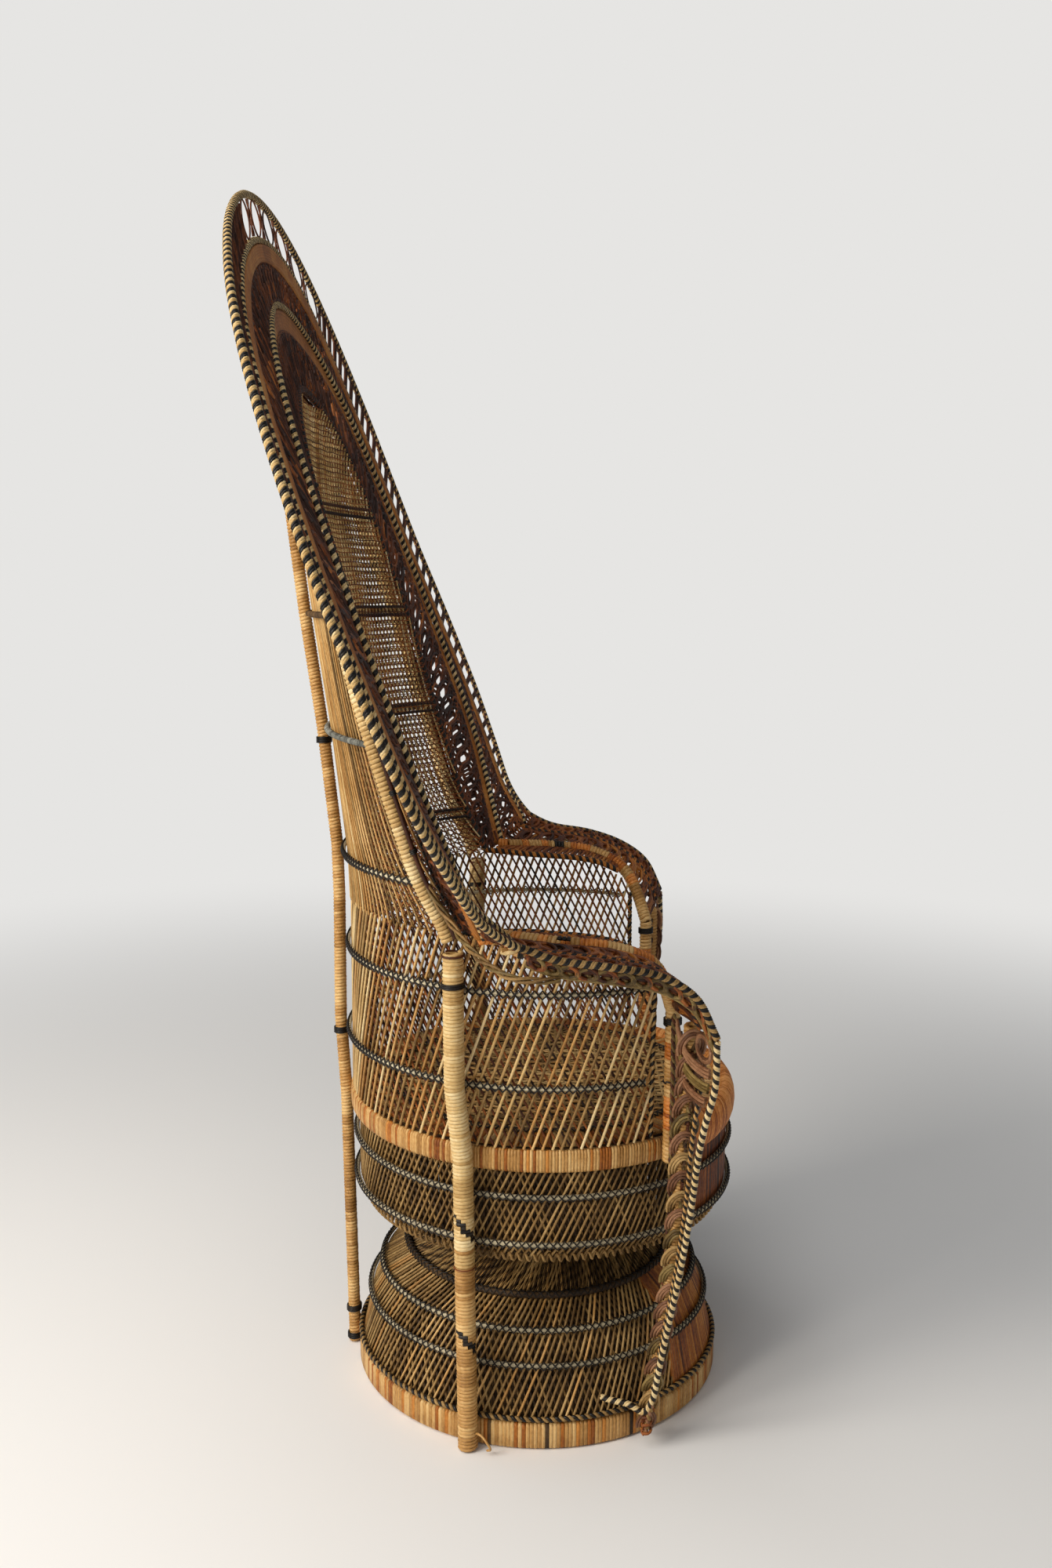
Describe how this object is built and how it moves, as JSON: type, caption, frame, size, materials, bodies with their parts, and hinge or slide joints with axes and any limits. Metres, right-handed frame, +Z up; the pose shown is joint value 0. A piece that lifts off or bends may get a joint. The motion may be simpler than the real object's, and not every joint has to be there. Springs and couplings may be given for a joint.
{
  "type": "peacock chair",
  "caption": "Wicker armchair with a tall leaning fan back, curved arms with hanging skirts, a round seat and an hourglass base of woven cane",
  "frame": {"origin": "on the floor, under the middle of the chair's bounding box", "axes": "+Z up, -Y is the side the sitter faces, +X is the sitter's left"},
  "size_m": [1.2536, 0.5964, 1.4678],
  "materials": {
    "honey_cane": "honey coloured wrapped cane, satin",
    "pale_cane": "pale cream cane, satin",
    "orange_cane": "orange-brown flat cane, satin",
    "stained_cane": "near-black stained cane, satin",
    "two_tone_braid": "braid of black and cream cane strands",
    "brown_lace": "dark reddish-brown curled cane",
    "base_lattice": "tan woven cane strands, matt",
    "back_lattice": "tan woven cane net, matt",
    "grey_binding": "grey-white cane binding with dark ties"
  },
  "bodies": {
    "root": {"foot_hoop": "honey_cane", "dome_wall": "base_lattice", "foot_braid": "two_tone_braid", "dome_hoop_low": "grey_binding", "dome_hoop_middle": "grey_binding", "dome_hoop_top": "grey_binding", "waist_hoop": "stained_cane", "throat_wall": "base_lattice", "bowl_wall": "base_lattice", "bowl_hoop_low": "grey_binding", "bowl_hoop_high": "grey_binding", "seat_band": "honey_cane", "seat_front_roll": "orange_cane", "seat_deck": "base_lattice", "basket_wall": "pale_cane", "basket_hoop_low": "grey_binding", "basket_hoop_high": "grey_binding", "rim_rope": "two_tone_braid", "outer_lace": "brown_lace", "outer_rope": "two_tone_braid", "outer_band": "orange_cane", "middle_lace": "brown_lace", "inner_rope": "two_tone_braid", "inner_band": "orange_cane", "inner_lace": "brown_lace", "panel_rope": "two_tone_braid", "back_panel": "back_lattice", "back_hoop_1": "stained_cane", "back_hoop_2": "stained_cane", "back_hoop_3": "stained_cane", "back_hoop_4": "stained_cane", "side_pole_left": "honey_cane", "side_pole_right": "honey_cane", "rear_pole": "honey_cane", "back_rail_left": "pale_cane", "back_rail_right": "pale_cane", "back_rod_left": "stained_cane", "back_rod_right": "stained_cane", "arm_rail_left": "honey_cane", "arm_rail_right": "honey_cane", "arm_rim_rope_left": "two_tone_braid", "arm_rim_rope_right": "two_tone_braid", "arm_middle_rope_left": "two_tone_braid", "arm_middle_rope_right": "two_tone_braid", "arm_lace_left": "brown_lace", "arm_lace_right": "brown_lace", "arm_edge_lace_left": "brown_lace", "arm_edge_lace_right": "brown_lace", "arm_inner_rope_left": "two_tone_braid", "arm_inner_rope_right": "two_tone_braid", "arm_inner_lace_left": "brown_lace", "arm_inner_lace_right": "brown_lace", "arm_rod_left": "stained_cane", "arm_rod_right": "stained_cane", "skirt_rope_inner_left": "two_tone_braid", "skirt_rope_inner_right": "two_tone_braid", "skirt_rope_outer_left": "two_tone_braid", "skirt_rope_outer_right": "two_tone_braid", "skirt_lace_left": "brown_lace", "skirt_lace_right": "brown_lace"}
  },
  "joints": []
}
